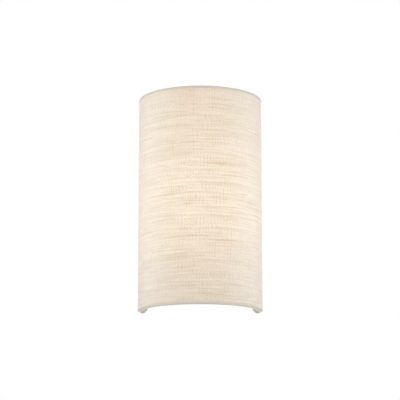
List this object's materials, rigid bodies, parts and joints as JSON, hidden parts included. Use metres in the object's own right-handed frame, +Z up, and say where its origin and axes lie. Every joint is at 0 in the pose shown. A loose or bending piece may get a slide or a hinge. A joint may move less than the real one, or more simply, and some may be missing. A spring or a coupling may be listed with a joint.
{
  "type": "fabric shade wall light",
  "caption": "Half-round linen wall light: a fabric shade slides down on a pressed wall plate, round one upright lit bulb.",
  "frame": {"origin": "midway between the two wall box screw slots, on the face of the wall", "axes": "+Z up, +Y into the wall, +X to the right of someone who faces the light"},
  "size_m": [0.178, 0.095, 0.311],
  "materials": {
    "linen": "natural slub linen, lit from behind",
    "linen_trim": "the same linen, folded double",
    "styrene": "white translucent sheet",
    "white_wire": "white coated",
    "white_enamel": "baked white enamel, satin",
    "zinc_steel": "bright zinc plated",
    "bright_brass": "plain",
    "nickelled_cap": "nickel plated",
    "green_screw": "green dyed zinc",
    "porcelain": "white glazed",
    "opal": "opal, lit",
    "white_plastic": "moulded",
    "black_plastic": "moulded",
    "grey_rubber": "moulded",
    "black_lead": "insulation",
    "white_lead": "insulation",
    "green_lead": "insulation",
    "aluminium_board": "white printed board"
  },
  "bodies": {
    "fixture": {"back_plate": "white_enamel", "mounting_strap": "zinc_steel", "strap_studs": "zinc_steel", "lock_nuts": "zinc_steel", "cap_nuts": "zinc_steel", "strap_earth_screw": "green_screw", "holder_bracket": "white_enamel", "bracket_rivets": "zinc_steel", "lampholder_body": "porcelain", "screw_shell": "bright_brass", "contact_tongue": "bright_brass", "holder_screws": "zinc_steel", "wire_bush": "grey_rubber", "terminal_block": "white_plastic", "block_screw": "zinc_steel", "clamp_screws": "zinc_steel", "live_lead": "black_lead", "neutral_lead": "white_lead", "earth_lead": "green_lead", "earth_tag": "bright_brass", "plate_earth_screw": "green_screw"},
    "shade": {"shade_fabric": "linen", "shade_liner": "styrene", "bottom_binding": "linen_trim", "top_binding": "linen_trim", "bottom_hoop": "white_wire", "top_hoop": "white_wire", "left_upright": "white_wire", "right_upright": "white_wire", "left_sleeve": "linen_trim", "right_sleeve": "linen_trim", "left_hanger_lug": "white_wire", "right_hanger_lug": "white_wire"},
    "bulb_contact": {"bulb_tip": "bright_brass"},
    "bulb": {"bulb_insulator": "black_plastic", "bulb_cap": "nickelled_cap", "bulb_housing": "white_plastic", "led_board": "aluminium_board", "bulb_globe": "opal"}
  },
  "joints": [
    {"name": "shade_lift", "type": "slide", "parent": "fixture", "child": "shade", "axis": [0, 0, 1], "range_m": [0, 0.33]},
    {"name": "bulb_lift", "type": "slide", "parent": "fixture", "child": "bulb_contact", "axis": [0, 0, 1], "range_m": [0, 0.0256]},
    {"name": "bulb_turn", "type": "hinge", "parent": "bulb_contact", "child": "bulb", "pos_m": [0, -0.05, -0.05], "axis": [0, 0, 1], "range_deg": [0, 2520]}
  ],
  "couplings": [
    {"joint": "bulb_lift", "follows": "bulb_turn", "m_per_rad": 0.00057757}
  ]
}
